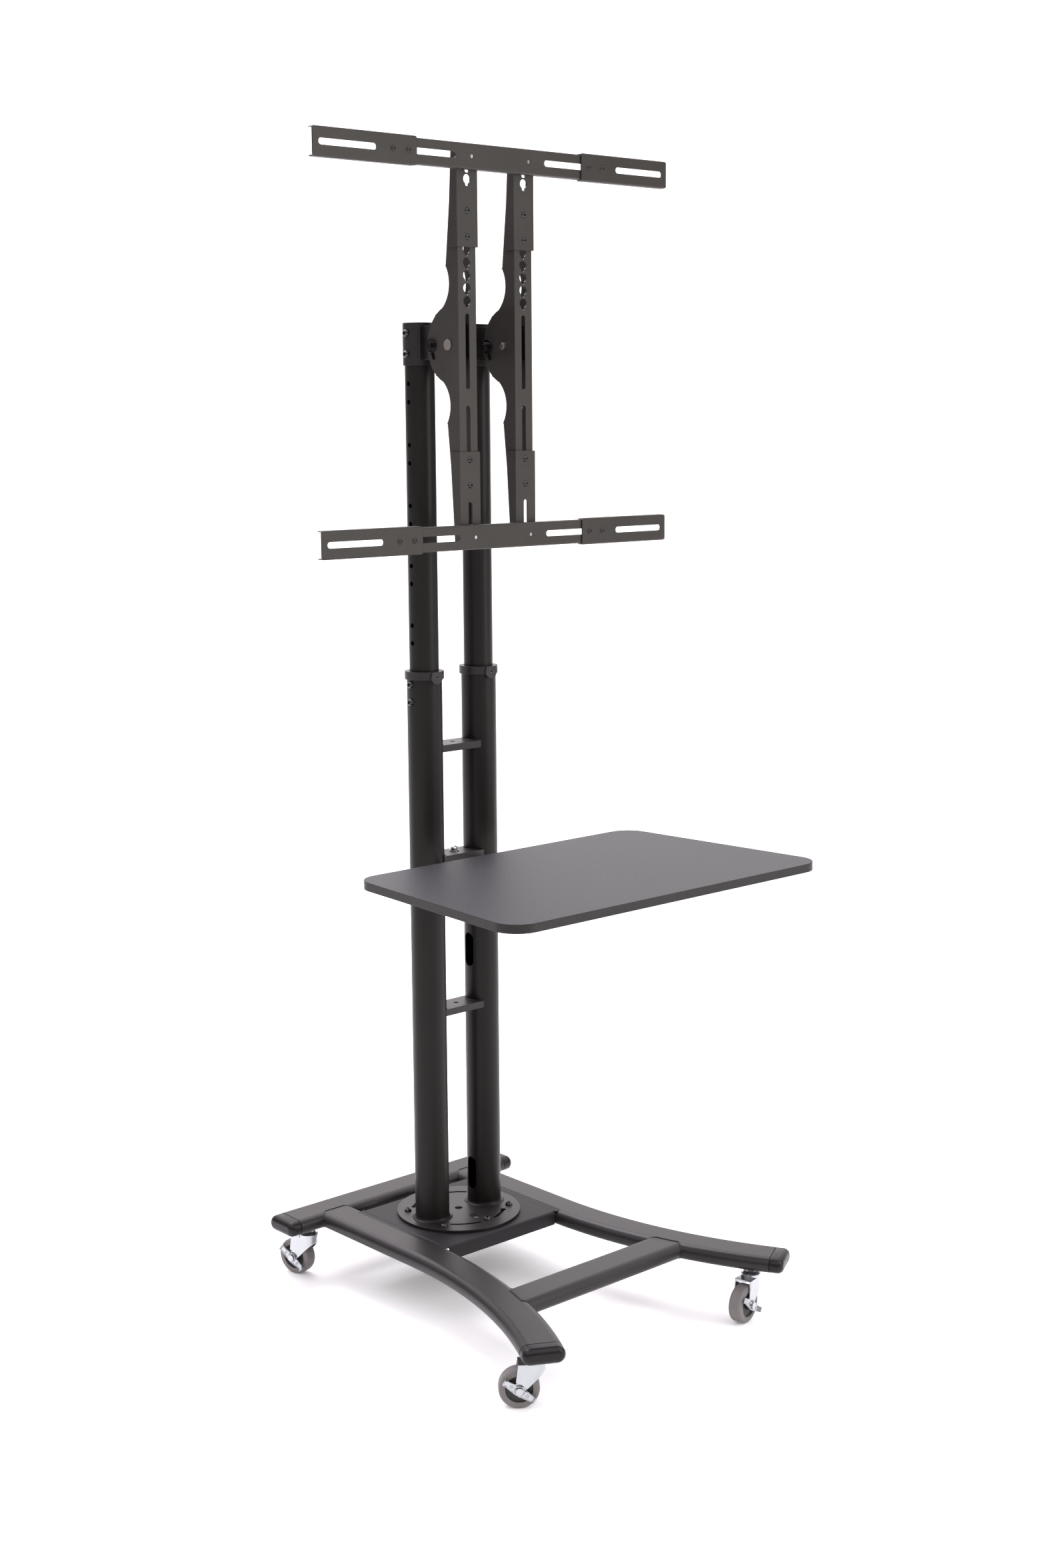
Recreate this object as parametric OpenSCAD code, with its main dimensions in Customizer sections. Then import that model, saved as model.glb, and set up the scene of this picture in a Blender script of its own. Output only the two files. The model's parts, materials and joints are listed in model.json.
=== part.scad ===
// Rolling floor stand for a flat screen: a wheeled base, a twin telescoping mast,
// a shelf and a tilting screen frame with sliding rails. Millimetres.
// The floor is z = 0, the screen looks to -Y, and the mast stands at y = mast_y.

/* [Base] */
// Height of the underside of the base tubes above the floor
base_z = 92; // [90:1:110]
// Width of the flat oval base tube
tube_w = 70; // [60:1:76]
// Height of the flat oval base tube
tube_h = 28; // [26:1:32]
// Wall of the base tube
tube_wall = 2; // [1.5:0.5:3]
// Length of the rear crossbar without its end caps
crossbar_l = 476; // [440:2:560]
// Distance of the rear crossbar behind the mast
crossbar_y = 182; // [170:1:220]
// Distance of each leg from the middle where it is straight
leg_x = 157; // [152:1:166]
// Distance in front of the mast where the legs start to bend outward
bend_start = 90; // [60:5:120]
// Radius of the bend of the legs
bend_r = 870; // [700:10:1000]
// Angle of the bend of the legs
bend_a = 29; // [26:1:32]
// Distance of the front cross tube in front of the mast
cross_tube_y = 351; // [300:5:380]
// Length of the plastic end caps beyond the tubes
cap_l = 24; // [18:1:30]

/* [Centre plate and disc] */
// Front edge of the centre plate in front of the mast
plate_front = 122; // [118:1:140]
// Rear edge of the centre plate behind the mast
plate_back = 117; // [114:1:130]
// Sheet of the centre plate
plate_t = 3; // [2:0.5:4]
// Depth of the turned down edges of the centre plate
plate_drop = 24; // [16:1:28]
// Diameter of the mast disc
disc_d = 220; // [210:2:230]
// Thickness of the mast disc
disc_t = 5; // [4:0.5:8]
// Diameter of the cable hole in the disc
cable_hole_d = 23; // [16:1:26]

/* [Mast] */
// Distance between the axes of the two mast tubes
mast_pitch = 121; // [118:1:126]
// Outer diameter of the lower tubes
lower_d = 60; // [58:1:62]
// Wall of the lower tubes
lower_wall = 2; // [1.5:0.25:2.5]
// Height of the top end of the lower tubes
lower_top = 1095; // [1060:5:1150]
// Outer diameter of the upper tubes
upper_d = 50; // [48:1:51]
// Wall of the upper tubes
upper_wall = 2; // [1.5:0.5:3]
// Length of the upper tubes
upper_l = 824; // [800:2:900]
// Height of the top end of the upper tubes as photographed
upper_top = 1672; // [1640:2:1700]
// Distance from one pair of height holes to the next
hole_pitch = 100; // [80:5:110]
// Distance between the two holes of a pair
hole_pair = 30; // [25:1:35]
// Number of pairs of height holes
hole_pairs = 6; // [4:1:6]
// Diameter of the height holes
height_hole_d = 8.5; // [7:0.5:10]
// Length of the cable slots in the lower tubes
cable_slot_l = 60; // [40:2:70]
// Width of the cable slots in the lower tubes
cable_slot_w = 22; // [16:1:24]
// Heights of the tops of the three struts
strut_tops = [505, 775, 970];
// Front to back width of a strut
strut_w = 50; // [40:1:54]
// Depth of a strut's turned down edges
strut_drop = 12; // [8:1:16]

/* [Shelf] */
// Width of the shelf along its front edge
shelf_front_w = 684; // [640:2:730]
// Width of the shelf along its rear edge
shelf_back_w = 620; // [560:2:680]
// Distance of the shelf's front edge in front of the mast
shelf_front = 544; // [480:1:570]
// Distance of the shelf's rear edge in front of the mast
shelf_back = 118; // [100:1:150]
// Thickness of the shelf board
shelf_t = 14; // [12:1:20]
// Radius of the shelf's front corners
shelf_front_r = 42; // [30:1:100]
// Radius of the shelf's rear corners
shelf_back_r = 42; // [30:1:80]

/* [Head and arms] */
// Height of the head sleeve
head_h = 69; // [64:1:80]
// Reach of the tilt pivot in front of the mast
pivot_reach = 97; // [92:1:105]
// Reach of the tilt bolt in front of the mast
tilt_bolt_reach = 55.5; // [54:0.5:60]
// Drop of the tilt pivot below the top of the head
pivot_drop = 38.5; // [36:0.5:44]
// Outer width of an arm channel
arm_w = 38; // [36:1:40]
// Distance from the pivot to the face of the arm
arm_face = 26; // [25:0.5:30]
// Half of the length of an arm
arm_half = 240; // [230:2:250]
// Sheet of the arms and their extensions
arm_t = 2.5; // [2:0.25:3]
// Keyholes in the face of each arm
keyholes = 5; // [3:1:5]
// Distance between keyholes
keyhole_pitch = 20.3; // [19.5:0.1:21]
// Widest tilt of the screen
tilt_max = 12; // [5:1:15]

/* [Rails] */
// Distance between the upper and the lower rail
rail_gap = 600; // [590:2:610]
// Half of the length of a centre rail
rail_half = 250; // [240:2:256]
// Height of a centre rail
rail_h = 40; // [36:1:44]
// Depth of a centre rail
rail_d = 14; // [12:1:18]
// Sheet of the rails
rail_t = 2; // [1.5:0.25:2.5]
// Length of a rail extension
ext_l = 200; // [180:2:210]
// Distance of a rail extension's outer end from the middle
ext_reach = 375; // [365:1:385]
// Sheet of a rail extension
ext_t = 2.2; // [1.8:0.1:2.5]
// Depth of a rail extension
ext_d = 12; // [10:1:14]
// Length of the long slot in a rail extension
ext_slot_l = 110; // [90:2:120]
// Width of the slots in the rails
rail_slot_w = 10; // [8:0.5:12]

/* [Casters] */
// Diameter of a caster wheel
wheel_d = 65; // [60:1:66]
// Width of a caster wheel
wheel_w = 24; // [20:1:26]
// Distance of the wheel behind its swivel axis
trail = 26; // [22:1:30]
// Diameter of the threaded stem
stem_d = 10; // [8:1:12]
// Diameter of the wheel axle
axle_d = 8; // [6:1:9]
// Heading of each caster: rear left, rear right, front left, front right
headings = [106, 62, 141, 193];

/* [Hidden] */
$fn = 64;

// Overrun of every cut past the face that it opens
cut = 1;
// Gap between pieces that are bolted or pushed together
seat_gap = 0.3;
// Radial clearance of a shaft or slide in its bore
run_gap = 0.05;
// Difference of the rounds at the ends of an arc slot from its width
slot_ease = 0.1;
// Both sides of the stand
sides = [-1, 1];
// Width of a screw's socket as a share of its head
socket_share = 0.48;

// Base
tube_z = base_z + tube_h / 2;
tube_top = base_z + tube_h;
leg_end_x = leg_x + bend_r * (1 - cos(bend_a));
leg_end_y = -bend_start - bend_r * sin(bend_a);
// Distance of each caster stem from the seam of the end cap
stem_inset = 38;
cap_r = 12;
cap_plug_l = 14;
bend_run = bend_a + 2;
stem_a = bend_a - atan(stem_inset / bend_r);
stem_front_x = leg_x + bend_r * (1 - cos(stem_a));
stem_front_y = -bend_start - bend_r * sin(stem_a);
stem_rear_x = crossbar_l / 2 - stem_inset;
stem_hole_play = 1;
stem_hole_d = stem_d + stem_hole_play;
cross_a = asin((cross_tube_y - bend_start) / bend_r);
cross_half = leg_x + bend_r * (1 - cos(cross_a));

// Centre plate and disc
plate_bend_r = 5;
plate_lap = 4;
plate_w = 2 * (leg_x - tube_w / 2 + plate_lap);
flange_w = 2 * (leg_x - tube_w / 2 - seat_gap);
disc_top = tube_top + disc_t;
centre_hole_d = 14;
cable_hole_y = -48;
disc_screw_x = 76;
disc_screw_y = 50;
front_screw_y = -78;
disc_screw_d = 6;
disc_head_d = 13;
disc_head_h = 6;
arc_r = 80;
arc_w = 6;
arc_key_d = 11;
// Start and end angle of each arc slot, and the angle of its key hole
disc_arcs = [[221, 258, 0], [283, 311, 311], [41, 76, 0], [103, 133, 133]];

// Lower mast
weld_r = 6;
// Distance from the top of a lower tube to its first height screw
lock_drop = 19;
lock_z = lower_top - lock_drop;
cable_slot_z = [183, 596];
strut_t = 2.5;
strut_hole_d = 9;
collar_wall = 3.2;
collar_h = 13.5;
collar_lip = 3;
ear_r = 12.5;
ear_out = 4.5;
ear_drop = 8.5;
collar_r = lower_d / 2 + seat_gap / 2 + collar_wall;
collar_top = lower_top + collar_lip;
collar_screw_d = 8;
collar_screw_l = 4;
lock_head_d = 13;
lock_head_h = 6;
lock_screw_d = 8;
bush_h = 46;
bush_r = upper_d / 2 + run_gap;
mast_bore_r = lower_d / 2 - lower_wall;

// Upper mast and head
glide_h = 22;
glide_r = mast_bore_r - run_gap;
head_wall = 2.5;
head_gap = 0.2;
head_r = upper_d / 2 + head_gap + head_wall;
head_top = upper_top + head_gap + head_wall;
head_z = head_top - head_h;
head_screw_low = 18;
head_screw_pitch = 34;
head_screw_z = [head_z + head_screw_low, head_z + head_screw_low + head_screw_pitch];
pivot_z = head_top - pivot_drop;
bracket_h = 55;
bracket_inset = 6;
bracket_gap = 1;
bracket_w = arm_w - 2 * arm_t - 2 * bracket_gap;
bracket_nose = 15;
bracket_ear = 8;
bolt_d = 8;
washer_d = 23;
washer_t = 2;
bolt_head_af = 13;
bolt_head_h = 5.5;
bolt_nut_h = 8;
pivot_head_d = 17.5;
pivot_head_h = 2;
pivot_nut_af = 11;
pivot_nut_h = 5;
nut_collar_h = 2;
thread_out = 2;
// Half of the arm and its clearance to the washers
grip_half = arm_w / 2 + seat_gap;

// Arms, measured from the pivot and from the face of the arm
bulge_r = 64;
bulge_depth = 14.6;
waist_z = 97;
waist_depth = 73;
waist_r = 50.5;
bump_z = 126;
bump_depth = 30;
bump_tip = 15;
arm_end_depth = 18;
arm_slot_w = 8;
middle_slot = [-71, 49];
lower_slot = [-232, -96.5];
first_keyhole_z = 68.5;
key_d = 15;
key_tail_d = 7;
key_tail_z = 7.6;
// How far the tilt slots run on past the tilt range
tilt_slot_spare = 16;
tilt_slot_a = tilt_max + tilt_slot_spare;
tilt_slot_play = 0.6;
tilt_slot_w = bolt_d + tilt_slot_play;
face_y = -pivot_reach - arm_face;

// Arm extensions, measured from the pivot
extension_w = arm_w + 2 * seat_gap + 2 * arm_t;
extension_end = 304;
upper_extension_low = 153;
lower_extension_high = -171;
extension_face_y = face_y - seat_gap - arm_t;
upper_screw_z = [168.5, 209];
lower_screw_z = [-225, -184];
extension_key_z = 258;
extension_hole_z = 272;
extension_hole_d = 9;
extension_slot = [-318, -251];
extension_depth = 21;
extension_end_depth = 14;
lower_extension_low = -325;
small_screw_d = 6;
rail_hole_d = 7;
small_head_d = 10;
small_head_h = 3.3;
nut_af = 10;
nut_h = 5;

// Rails
rail_shift = 8.5;
rail_z = [pivot_z - rail_gap / 2 - rail_shift, pivot_z + rail_gap / 2 - rail_shift];
rail_front = extension_face_y - rail_d;
rail_slot_in = 94;
rail_slot_out = 240;
rail_bend_r = 3;
ext_h = rail_h + 2 * seat_gap + 2 * ext_t;
ext_front = rail_front - seat_gap - ext_t;
ext_slot_edge = 11;
ext_screw_x = [17, 47];
ext_corner_r = 4;

// Shelf
bracket_sheet = 3;
shelf_z = strut_tops[1] + bracket_sheet;
tongue_half = 37;
tongue_front = strut_w / 2 + bracket_sheet;
tongue_back = 20;
shelf_drop = 28;
shelf_wall_x = 45;
shelf_rib_end = 430;
shelf_rib_low = 14;
shelf_flange_w = 22;
shelf_bolt_d = 8;
cap_flange_d = 17;
cap_flange_h = 1.5;
cap_nut_h = 5;
cap_dome_h = 4.5;
shelf_screw_y = [170, 390];

// Casters
fork_top = 74;
fork_t = 2;
fork_gap = 1.5;
fork_inner = wheel_w / 2 + fork_gap;
fork_outer = fork_inner + fork_t;
nose_drop = 11;
fork_front = 28;
race_d = 34;
race_h = 5;
upper_race_d = 31;
// Width of the top of the upper race as a share of its foot
race_flare_share = 0.78;
upper_race_h = 4;
stem_nut_af = 17;
stem_nut_h = 6;
stem_in = 20;
king_head_d = 15;
king_head_h = 2;
axle_head_d = 12;
axle_head_h = 3;
hub_d = 44;
hub_bore_w = wheel_w + 2 * cut;
hub_dish = 3;
// Diameter of the hub's middle as a share of the hub
hub_core_share = 0.42;
// Reach of the cheeks round the axle
cheek_r = 7;
tyre_round = 5;
brake_t = 2.5;
brake_gap = 0.3;
brake_boss_r = 8.5;
brake_half = 29;
brake_tip_w = 9;
brake_toe = 7;
brake_rest_a = -34;
brake_side = fork_outer + brake_t + 2 * brake_gap;
caster_places = [[-stem_rear_x, crossbar_y], [stem_rear_x, crossbar_y],
    [-stem_front_x, stem_front_y], [stem_front_x, stem_front_y]];

// The origin lies below the middle of the stand's own box
reach_front = max(shelf_front, -leg_end_y + cap_l * cos(bend_a) + (tube_w / 2 - cap_r) * sin(bend_a)
    + cap_r * (1 - cos(bend_a)));
reach_back = crossbar_y + max(wheel_reach(headings[0]), wheel_reach(headings[1]));
mast_y = (reach_front - reach_back) / 2;

// How far a caster wheel with heading a reaches behind its stem
function wheel_reach(a) = trail * sin(a) + (wheel_d / 2 - tyre_round) * abs(sin(a))
    + (wheel_w / 2 - tyre_round) * abs(cos(a)) + tyre_round;

// Shared shapes

module placed() {
    translate([0, mast_y, 0])
        children();
}

module mirrored(side) {
    if (side < 0)
        mirror([1, 0, 0])
            children();
    else
        children();
}

// A flat oval section
module oval(w, h) {
    square([w - h, h], center = true);
    for (side = sides)
        translate([side * (w - h) / 2, 0])
            circle(d = h);
}

// A prism of the children along X, with the section's width across Y
module along_x(length) {
    rotate([90, 0, 90])
        linear_extrude(length, center = true)
            children();
}

// A cylinder along X between two places
module rod_x(d, from, to) {
    translate([from, 0, 0])
        rotate([0, 90, 0])
            cylinder(d = d, h = to - from);
}

// A cylinder along Y between two places
module rod_y(d, from, to) {
    translate([0, to, 0])
        rotate([90, 0, 0])
            cylinder(d = d, h = to - from);
}

// A slot in the XZ plane cut along Y
module slot_x(length, w, from, to) {
    for (side = sides)
        translate([side * (length - w) / 2, 0, 0])
            rod_y(w, from, to);
    translate([-(length - w) / 2, from, -w / 2])
        cube([length - w, to - from, w]);
}

module slot_z(low, high, w, from, to) {
    for (z = [low + w / 2, high - w / 2])
        translate([0, 0, z])
            rod_y(w, from, to);
    translate([-w / 2, from, low + w / 2])
        cube([w, to - from, high - low - w]);
}

// A domed socket screw along +Z: its head stands on z = 0 and its shank hangs below
module button_screw(head_d, head_h, shank_d, shank_l) {
    difference() {
        union() {
            rotate_extrude()
                intersection() {
                    translate([0, head_h - dome_r(head_d, head_h)])
                        circle(r = dome_r(head_d, head_h));
                    square([head_d / 2, head_h]);
                }
            translate([0, 0, -shank_l])
                cylinder(d = shank_d, h = shank_l);
        }
        translate([0, 0, head_h / 2])
            cylinder(d = head_d * socket_share, h = head_h, $fn = 6);
    }
}

// Radius of the dome that is h high over a base of width d
function dome_r(d, h) = (d * d / 4 + h * h) / (2 * h);

module hex_prism(af, h) {
    cylinder(d = af / cos(30), h = h, $fn = 6);
}

// Base

module crossbar_solid() {
    translate([0, crossbar_y, tube_z])
        along_x(crossbar_l)
            oval(tube_w, tube_h);
}

module leg_solid(w, h, run) {
    translate([leg_x, (crossbar_y - bend_start) / 2, tube_z])
        rotate([90, 0, 0])
            linear_extrude(crossbar_y + bend_start, center = true)
                oval(w, h);
    translate([leg_x + bend_r, -bend_start, tube_z])
        rotate([0, 0, 180])
            rotate_extrude(angle = run)
                translate([bend_r, 0])
                    oval(w, h);
}

module stem_hole(place) {
    translate([place[0], place[1], base_z - cut])
        cylinder(d = stem_hole_d, h = tube_h / 2);
}

module rear_crossbar() {
    color("#3c3a3b")
        placed()
            difference() {
                crossbar_solid();
                translate([0, crossbar_y, tube_z])
                    along_x(crossbar_l + 2 * cut)
                        oval(tube_w - 2 * tube_wall, tube_h - 2 * tube_wall);
                stem_hole(caster_places[0]);
                stem_hole(caster_places[1]);
            }
}

module leg(side) {
    color("#3c3a3b")
        placed()
            mirrored(side)
                difference() {
                    leg_solid(tube_w, tube_h, bend_a);
                    leg_solid(tube_w - 2 * tube_wall, tube_h - 2 * tube_wall, bend_run);
                    crossbar_solid();
                    stem_hole(caster_places[3]);
                }
}

module front_cross_tube() {
    color("#3c3a3b")
        placed()
            difference() {
                translate([0, -cross_tube_y, tube_z])
                    along_x(2 * cross_half)
                        difference() {
                            oval(tube_w, tube_h);
                            oval(tube_w - 2 * tube_wall, tube_h - 2 * tube_wall);
                        }
                for (side = sides)
                    mirrored(side)
                        leg_solid(tube_w, tube_h, bend_a);
            }
}

module centre_plate() {
    deep = plate_front + plate_back;
    color("#403e40")
        placed()
            translate([0, (plate_back - plate_front) / 2, 0])
                difference() {
                    union() {
                        translate([-plate_w / 2, -deep / 2 + plate_bend_r, tube_top - plate_t])
                            cube([plate_w, deep - 2 * plate_bend_r, plate_t]);
                        along_x(flange_w)
                            plate_section(deep);
                    }
                    plate_cuts((plate_front - plate_back) / 2);
                }
}

// Inverted tray section: flat top, rounded bends and two edges turned down
module plate_section(deep) {
    translate([0, tube_top])
        for (turn = [0, 1])
            mirror([turn, 0]) {
                translate([0, -plate_t])
                    square([deep / 2 - plate_bend_r, plate_t]);
                translate([deep / 2 - plate_t, -plate_drop])
                    square([plate_t, plate_drop - plate_bend_r]);
                translate([deep / 2 - plate_bend_r, -plate_bend_r])
                    intersection() {
                        difference() {
                            circle(r = plate_bend_r);
                            circle(r = plate_bend_r - plate_t);
                        }
                        square(plate_bend_r);
                    }
            }
}

module plate_cuts(shift) {
    translate([0, shift, tube_top - plate_t - cut]) {
        cylinder(d = centre_hole_d, h = plate_t + 2 * cut);
        translate([0, cable_hole_y, 0])
            cylinder(d = cable_hole_d, h = plate_t + 2 * cut);
        disc_screw_places()
            cylinder(d = disc_screw_d + seat_gap, h = plate_t + 2 * cut);
    }
}

module disc_screw_places() {
    for (x = sides, y = sides)
        translate([x * disc_screw_x, y * disc_screw_y, 0])
            children();
    translate([0, front_screw_y, 0])
        children();
}

// The plastic cap of a tube end, along +X from its seam
module end_cap() {
    intersection() {
        translate([cap_l / 2, 0, 0])
            along_x(cap_l)
                oval(tube_w, tube_h);
        translate([0, 0, -tube_h / 2])
            linear_extrude(tube_h)
                cap_outline(tube_w);
        rotate([90, 0, 0])
            linear_extrude(tube_w, center = true)
                cap_outline(tube_h);
    }
    translate([-cap_plug_l / 2, 0, 0])
        along_x(cap_plug_l)
            oval(tube_w - 2 * tube_wall - seat_gap, tube_h - 2 * tube_wall - seat_gap);
}

module cap_outline(w) {
    translate([0, -w / 2])
        square([cap_l - cap_r, w]);
    translate([0, -w / 2 + cap_r])
        square([cap_l, w - 2 * cap_r]);
    for (side = sides)
        translate([cap_l - cap_r, side * (w / 2 - cap_r)])
            circle(r = cap_r);
}

module end_caps() {
    color("#1d1b1b")
        placed()
            for (side = sides)
                mirrored(side) {
                    translate([crossbar_l / 2, crossbar_y, tube_z])
                        end_cap();
                    translate([leg_end_x, leg_end_y, tube_z])
                        rotate([0, 0, bend_a - 90])
                            end_cap();
                }
}

// An arc slot round the mast axis, with a key hole where key is an angle
module arc_slot(from, to, key) {
    rotate([0, 0, from])
        rotate_extrude(angle = to - from)
            translate([arc_r - arc_w / 2, 0])
                square([arc_w, disc_t + 2 * cut]);
    for (a = [from, to])
        rotate([0, 0, a])
            translate([arc_r, 0, 0])
                cylinder(d = arc_w - slot_ease, h = disc_t + 2 * cut);
    if (key > 0)
        rotate([0, 0, key])
            translate([arc_r, 0, 0])
                cylinder(d = arc_key_d, h = disc_t + 2 * cut);
}

module mast_disc() {
    color("#3f3d40")
        placed()
            difference() {
                translate([0, 0, tube_top])
                    cylinder(d = disc_d, h = disc_t);
                translate([0, 0, tube_top - cut]) {
                    cylinder(d = centre_hole_d, h = disc_t + 2 * cut);
                    translate([0, cable_hole_y, 0])
                        cylinder(d = cable_hole_d, h = disc_t + 2 * cut);
                    disc_screw_places()
                        cylinder(d = disc_screw_d + seat_gap, h = disc_t + 2 * cut);
                    for (arc = disc_arcs)
                        arc_slot(arc[0], arc[1], arc[2]);
                }
            }
}

module disc_screws() {
    color("#26262a")
        placed()
            translate([0, 0, disc_top])
                disc_screw_places()
                    button_screw(disc_head_d, disc_head_h, disc_screw_d, disc_t + 2 * plate_t);
}

// Lower mast

module cable_slot_cut(z) {
    translate([-lower_d / 2 - cut, 0, z])
        rotate([0, 0, 90]) {
            for (side = sides)
                translate([0, 0, side * (cable_slot_l - cable_slot_w) / 2])
                    rod_y(cable_slot_w, -lower_d / 2, 0);
            translate([-cable_slot_w / 2, -lower_d / 2, -(cable_slot_l - cable_slot_w) / 2])
                cube([cable_slot_w, lower_d / 2, cable_slot_l - cable_slot_w]);
        }
}

// The tube on the +X side, standing on the disc in its weld fillet
module lower_tube(side) {
    color("#3a3838")
        placed()
            mirrored(side)
                translate([mast_pitch / 2, 0, 0])
                    difference() {
                        union() {
                            translate([0, 0, disc_top])
                                cylinder(d = lower_d, h = lower_top - disc_top);
                            translate([0, 0, disc_top])
                                rotate_extrude()
                                    weld_fillet();
                        }
                        translate([0, 0, disc_top - cut])
                            cylinder(r = mast_bore_r, h = lower_top - disc_top + 2 * cut);
                        for (z = cable_slot_z)
                            cable_slot_cut(z);
                        for (i = [0, 1])
                            translate([0, 0, lock_z - i * hole_pair])
                                rod_x(height_hole_d, mast_bore_r - cut, lower_d / 2 + cut);
                    }
}

module weld_fillet() {
    translate([lower_d / 2 - cut, 0])
        difference() {
            square([weld_r + cut, weld_r]);
            translate([weld_r + cut, weld_r])
                circle(r = weld_r);
        }
}

// A channel between the tubes, open below and coped to them
module strut(top) {
    color("#3a3838")
        placed()
            difference() {
                translate([-mast_pitch / 2, -strut_w / 2, top - strut_drop])
                    cube([mast_pitch, strut_w, strut_drop]);
                translate([-mast_pitch / 2 - cut, -strut_w / 2 + strut_t, top - strut_drop - cut])
                    cube([mast_pitch + 2 * cut, strut_w - 2 * strut_t, strut_drop - strut_t + cut]);
                for (side = sides)
                    translate([side * mast_pitch / 2, 0, top - strut_drop - cut])
                        cylinder(d = lower_d, h = strut_drop + 2 * cut);
                translate([0, 0, top - strut_t - cut])
                    cylinder(d = strut_hole_d, h = strut_t + 2 * cut);
            }
}

module mast_collars() {
    color("#2f2d2e")
        placed()
            for (side = sides)
                translate([side * mast_pitch / 2, 0, 0])
                    difference() {
                        union() {
                            translate([0, 0, collar_top - collar_h])
                                cylinder(r = collar_r, h = collar_h);
                            intersection() {
                                translate([0, 0, collar_top - ear_drop])
                                    rod_y(2 * ear_r, -lower_d / 2 - ear_out, 0);
                                translate([-ear_r, -lower_d, collar_top - 2 * ear_r])
                                    cube([2 * ear_r, lower_d, 2 * ear_r]);
                            }
                        }
                        translate([0, 0, collar_top - 3 * ear_r])
                            cylinder(d = lower_d + seat_gap, h = 3 * ear_r - collar_lip);
                        translate([0, 0, collar_top - 3 * ear_r])
                            cylinder(d = upper_d + 2 * seat_gap, h = 3 * ear_r + cut);
                        translate([0, 0, collar_top - ear_drop])
                            rod_y(collar_screw_d + seat_gap, -lower_d, -lower_d / 2 + cut);
                    }
}

// Flush socket screws in the ears of the collars, and the screws that lock the height
module mast_screws() {
    color("#19191b")
        placed()
            for (side = sides) {
                translate([side * mast_pitch / 2, -lower_d / 2 - ear_out, collar_top - ear_drop])
                    rotate([90, 0, 0])
                        difference() {
                            translate([0, 0, -collar_screw_l])
                                cylinder(d = collar_screw_d, h = collar_screw_l);
                            translate([0, 0, -collar_screw_l / 2])
                                cylinder(d = collar_screw_d / 2, h = collar_screw_l, $fn = 6);
                        }
                for (i = [0, 1])
                    mirrored(side)
                        translate([mast_pitch / 2 + lower_d / 2, 0, lock_z - i * hole_pair])
                            rotate([0, 90, 0])
                                button_screw(lock_head_d, lock_head_h, lock_screw_d, lower_wall);
            }
}

module guide_bushes() {
    color("#202022")
        placed()
            for (side = sides)
                translate([side * mast_pitch / 2, 0, lower_top - bush_h])
                    difference() {
                        cylinder(r = mast_bore_r - run_gap, h = bush_h);
                        translate([0, 0, -cut])
                            cylinder(r = bush_r, h = bush_h + 2 * cut);
                    }
}

// Shelf

// A side wall of the shelf bracket, seen from the side
module rib_outline() {
    polygon([
        [-tongue_front, shelf_z - shelf_drop],
        [-tongue_front, shelf_z - shelf_drop + shelf_rib_low],
        [-shelf_back - shelf_flange_w, shelf_z],
        [-shelf_rib_end, shelf_z],
        [-shelf_rib_end, shelf_z - shelf_rib_low]
    ]);
}

module shelf_bracket() {
    color("#3a3838")
        placed()
            difference() {
                union() {
                    translate([-tongue_half, -tongue_front, shelf_z - bracket_sheet])
                        cube([2 * tongue_half, tongue_front + tongue_back, bracket_sheet]);
                    translate([-shelf_wall_x, -tongue_front, shelf_z - shelf_drop])
                        cube([2 * shelf_wall_x, bracket_sheet - seat_gap, shelf_drop]);
                    for (side = sides)
                        mirrored(side) {
                            translate([shelf_wall_x - bracket_sheet, 0, 0])
                                rotate([90, 0, 90])
                                    linear_extrude(bracket_sheet)
                                        rib_outline();
                            translate([shelf_wall_x - bracket_sheet, -shelf_rib_end, shelf_z - bracket_sheet])
                                cube([shelf_flange_w, shelf_rib_end - shelf_back - shelf_flange_w, bracket_sheet]);
                        }
                    translate([-shelf_wall_x, -shelf_rib_end, shelf_z - shelf_rib_low])
                        cube([2 * shelf_wall_x, bracket_sheet, shelf_rib_low]);
                }
                translate([0, 0, shelf_z - bracket_sheet - cut])
                    cylinder(d = strut_hole_d, h = bracket_sheet + 2 * cut);
                for (side = sides)
                    translate([side * mast_pitch / 2, 0, shelf_z - 2 * shelf_drop])
                        cylinder(d = lower_d + 2 * seat_gap, h = 3 * shelf_drop);
                shelf_screw_places()
                    translate([0, 0, -bracket_sheet - cut])
                        cylinder(d = small_screw_d, h = bracket_sheet + 2 * cut);
            }
}

module shelf_screw_places() {
    for (side = sides, y = shelf_screw_y)
        translate([side * (shelf_wall_x + shelf_flange_w / 2 - bracket_sheet / 2), -y, shelf_z])
            children();
}

module shelf_board() {
    color("#4b4a55")
        placed()
            translate([0, 0, shelf_z])
                linear_extrude(shelf_t)
                    hull()
                        for (side = sides) {
                            translate([side * (shelf_front_w / 2 - shelf_front_r), -shelf_front + shelf_front_r])
                                circle(r = shelf_front_r);
                            translate([side * (shelf_back_w / 2 - shelf_back_r), -shelf_back - shelf_back_r])
                                circle(r = shelf_back_r);
                        }
}

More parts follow.
